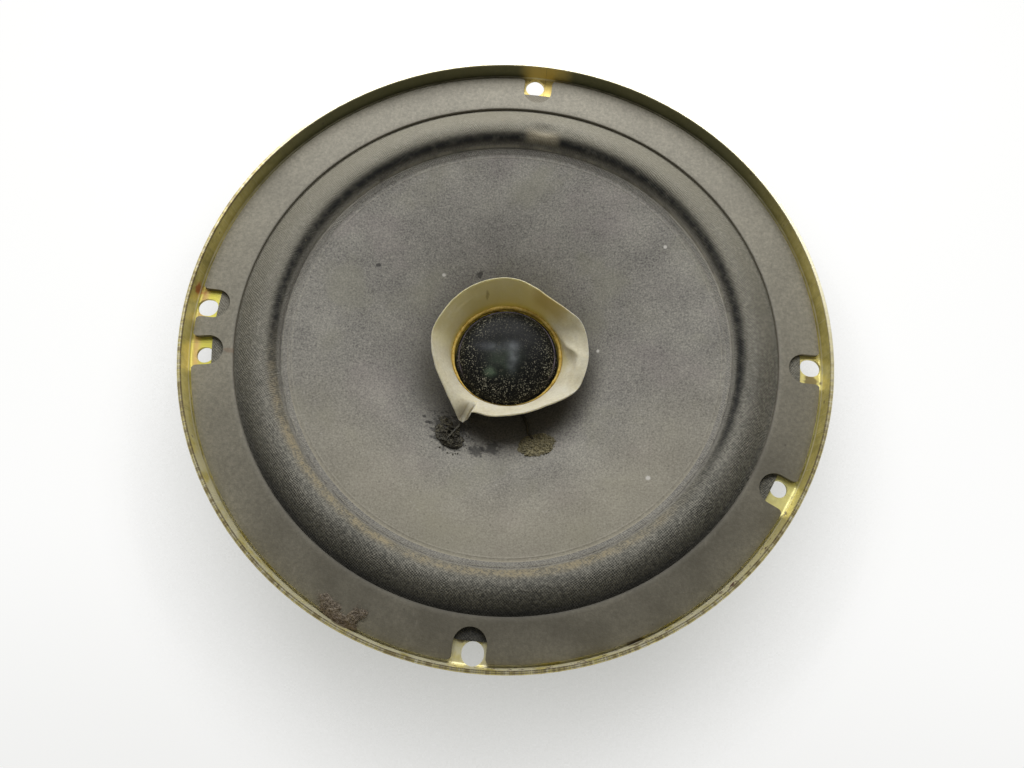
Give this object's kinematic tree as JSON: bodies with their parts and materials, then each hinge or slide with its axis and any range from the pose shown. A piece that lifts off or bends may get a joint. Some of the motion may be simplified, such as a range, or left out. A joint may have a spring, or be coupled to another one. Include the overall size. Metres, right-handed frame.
{
  "type": "car door speaker",
  "caption": "Round car door loudspeaker: pressed steel basket, card gasket, cloth surround, paper cone with whizzer and dome cap, ring magnet behind.",
  "frame": {"origin": "centre of the back plate's rear face, on the speaker's axis, where it rests with its front up", "axes": "+Z along the speaker's axis, out of its front; +Y towards the screw slot opposite the terminals; +X to the right seen from the front"},
  "size_m": [0.165, 0.165, 0.0621],
  "materials": {
    "zinc_steel": "yellow passivated zinc on pressed steel, semi gloss",
    "gasket_card": "matte grey-brown card",
    "surround_cloth": "woven cloth, coated",
    "spider_cloth": "corrugated varnished cloth",
    "plate_steel": "zinc plated steel",
    "ferrite": "dark sintered ferrite",
    "rivet_steel": "plain steel",
    "board_paper": "phenolic paper board",
    "tinned_brass": "tinned brass",
    "tinsel": "copper tinsel braid on a textile core",
    "cone_paper": "dark grey pressed paper",
    "kraft_paper": "kraft paper",
    "cap_black": "black lacquered paper dome, semi gloss",
    "black_glue": "black adhesive",
    "amber_glue": "hard amber adhesive",
    "former_foil": "thin aluminium foil",
    "copper_wire": "enamelled copper wire",
    "grey_glue": "dull soft adhesive with dust in it"
  },
  "bodies": {
    "frame": {"basket_rim": "zinc_steel", "basket_spokes": "zinc_steel", "basket_seat": "zinc_steel", "gasket_ring": "gasket_card", "surround": "surround_cloth", "spider": "spider_cloth", "top_plate": "plate_steel", "magnet": "ferrite", "back_plate": "plate_steel", "pole_piece": "plate_steel", "plate_rivets": "rivet_steel", "terminal_board": "board_paper", "terminal_lug_positive": "tinned_brass", "terminal_lug_negative": "tinned_brass", "terminal_rivets": "tinned_brass", "tinsel_lead_positive": "tinsel", "tinsel_lead_negative": "tinsel"},
    "moving_cone": {"cone": "cone_paper", "whizzer_cone": "kraft_paper", "dust_cap": "cap_black", "cap_glue_ring": "black_glue", "throat_glue_ring": "amber_glue", "neck_glue_ring": "black_glue", "voice_coil_former": "former_foil", "voice_coil_winding": "copper_wire", "lead_eyelets": "tinned_brass", "lead_glue_spots": "grey_glue", "coil_lead_wires": "copper_wire"}
  },
  "joints": [
    {"name": "cone_travel", "type": "slide", "parent": "frame", "child": "moving_cone", "axis": [0, 0, 1], "range_m": [-0.003, 0.003], "stiffness_N_per_m": 2000, "deforming": ["surround", "spider", "tinsel_lead_positive", "tinsel_lead_negative"]}
  ]
}
